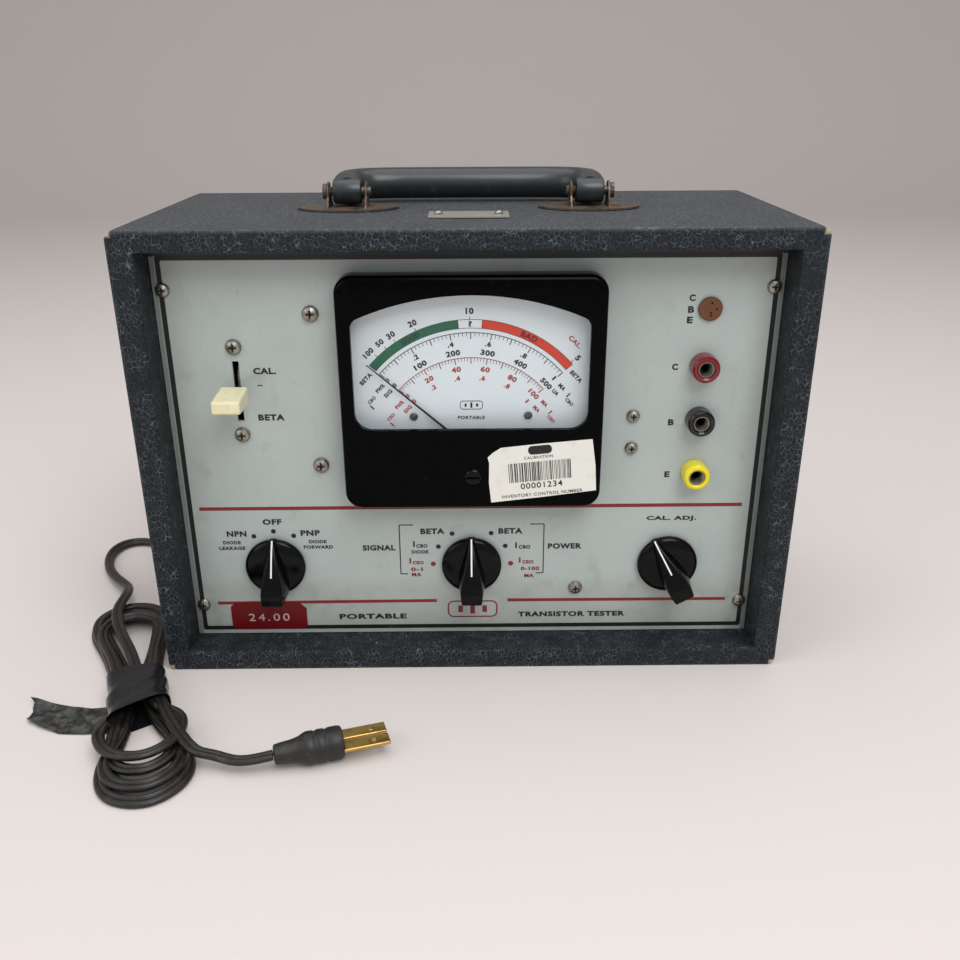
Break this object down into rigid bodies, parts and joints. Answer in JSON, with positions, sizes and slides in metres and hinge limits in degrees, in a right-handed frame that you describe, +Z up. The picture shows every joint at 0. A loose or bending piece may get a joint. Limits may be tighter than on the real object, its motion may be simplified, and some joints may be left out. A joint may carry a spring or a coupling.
{
  "type": "transistor tester",
  "caption": "Portable bench transistor tester in a covered carrying case, with a panel meter, lever switch, pointer knobs, test jacks, folding handle and a tied mains lead.",
  "frame": {"origin": "on the surface the case stands on, under the middle of its outer box (lever cap included, lead left out)", "axes": "+X to the right of someone facing the panel, +Y from the panel to the back of the case, +Z up"},
  "size_m": [0.3562, 0.2973, 0.2188],
  "materials": {
    "covering": "grained leathercloth over plywood, satin",
    "wood": "bare softwood",
    "panel": "grey-green satin enamel",
    "nickel": "dull nickel plate",
    "bakelite": "polished black moulding",
    "glass": "clear",
    "dial": "white satin enamel",
    "steel": "plain steel",
    "iron": "laminated iron and varnished winding",
    "ivory": "smooth ivory moulding",
    "socket_brown": "laminated brown plastic",
    "jack_red": "polished",
    "jack_black": "polished",
    "jack_yellow": "semi-gloss",
    "grip": "semi-gloss moulding",
    "rusty_steel": "rust-pitted plating",
    "aluminium": "bright sheet",
    "board": "phenolic laminate",
    "cord": "dull black-brown lamp cord"
  },
  "bodies": {
    "tester": {"case_shell": "covering", "panel_cleat_left": "wood", "panel_cleat_right": "wood", "front_panel": "panel", "panel_screw_1": "nickel", "panel_screw_2": "nickel", "panel_screw_3": "nickel", "panel_screw_4": "nickel", "transformer_screw_1": "nickel", "transformer_screw_2": "nickel", "lever_frame_screw_1": "nickel", "lever_frame_screw_2": "nickel", "terminal_strip_screw_1": "nickel", "terminal_strip_screw_2": "nickel", "capacitor_screw": "nickel", "jack_sleeve_red": "nickel", "jack_sleeve_black": "nickel", "jack_sleeve_yellow": "nickel", "plate_rivet_left": "nickel", "plate_rivet_right": "nickel", "scale_screw_left": "nickel", "scale_screw_right": "nickel", "meter_cover": "bakelite", "meter_movement": "bakelite", "meter_lens": "glass", "scale_plate": "dial", "lever_frame": "steel", "lever_pin": "steel", "rotary_switch_function": "steel", "rotary_switch_range": "steel", "potentiometer": "steel", "power_transformer": "iron", "transistor_socket": "socket_brown", "jack_body_red": "jack_red", "jack_body_black": "jack_black", "jack_body_yellow": "jack_yellow", "handle_bracket_left": "rusty_steel", "handle_bracket_right": "rusty_steel", "handle_pin_left": "rusty_steel", "handle_pin_right": "rusty_steel", "rating_plate": "aluminium", "filter_capacitor": "aluminium", "circuit_board": "board", "terminal_strip": "board", "cord_strain_relief": "cord", "cord_lead": "cord", "cord_hank": "cord", "cord_tail": "cord", "mains_plug": "cord"},
    "handle": {"handle_grip": "grip"},
    "function_lever": {"lever_blade": "nickel", "lever_cap": "ivory"},
    "function_knob": {"knob_function": "bakelite", "shaft_function": "steel"},
    "range_knob": {"knob_range": "bakelite", "shaft_range": "steel"},
    "calibrate_knob": {"knob_calibrate": "bakelite", "shaft_calibrate": "steel"},
    "pointer": {"meter_pointer": "steel"},
    "zero_screw": {"zero_adjuster": "bakelite"}
  },
  "joints": [
    {"name": "handle_swing", "type": "hinge", "parent": "tester", "child": "handle", "pos_m": [0, 0.0015, 0.2108], "axis": [1, 0, 0], "range_deg": [0, 172]},
    {"name": "lever_rock", "type": "hinge", "parent": "tester", "child": "function_lever", "pos_m": [-0.10125, -0.02075, 0.1319], "axis": [1, 0, 0], "range_deg": [-20, 20], "stiffness_Nm_per_rad": 0.1},
    {"name": "function_turn", "type": "hinge", "parent": "tester", "child": "function_knob", "pos_m": [-0.092, -0.04675, 0.0466], "axis": [0, 1, 0], "range_deg": [-31, 31]},
    {"name": "range_turn", "type": "hinge", "parent": "tester", "child": "range_knob", "pos_m": [0, -0.04675, 0.0466], "axis": [0, 1, 0], "range_deg": [-86, 86]},
    {"name": "calibrate_turn", "type": "hinge", "parent": "tester", "child": "calibrate_knob", "pos_m": [0.092, -0.04675, 0.0466], "axis": [0, 1, 0], "range_deg": [-121, 179]},
    {"name": "pointer_swing", "type": "hinge", "parent": "tester", "child": "pointer", "pos_m": [0.0005, -0.05175, 0.1062], "axis": [0, 1, 0], "range_deg": [0, 98], "stiffness_Nm_per_rad": 0.0005},
    {"name": "zero_turn", "type": "hinge", "parent": "tester", "child": "zero_screw", "pos_m": [0.001, -0.05925, 0.0955], "axis": [0, 1, 0], "range_deg": [-45, 45]}
  ]
}
